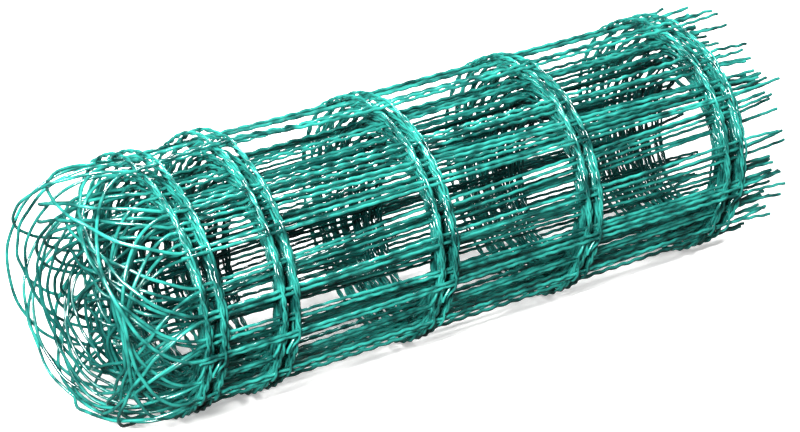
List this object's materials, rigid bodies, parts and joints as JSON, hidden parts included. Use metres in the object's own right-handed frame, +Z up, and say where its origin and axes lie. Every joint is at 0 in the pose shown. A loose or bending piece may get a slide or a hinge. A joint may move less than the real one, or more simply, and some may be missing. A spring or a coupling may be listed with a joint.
{
  "type": "roll of plastic-coated wire border fencing",
  "caption": "Roll of green plastic-coated wire garden mesh lying on its side, with interlaced hoop tops at one end and cut picket ends at the other.",
  "frame": {"origin": "on the floor, under the middle of the roll's box", "axes": "+X along the roll's axis towards the cut picket ends, +Z up, +Y towards the side where the turns fan out"},
  "size_m": [0.6628, 0.2178, 0.2172],
  "materials": {
    "coated_wire": "glossy green plastic coating on steel wire"
  },
  "bodies": {
    "root": {"mesh_roll": "coated_wire"}
  },
  "joints": []
}
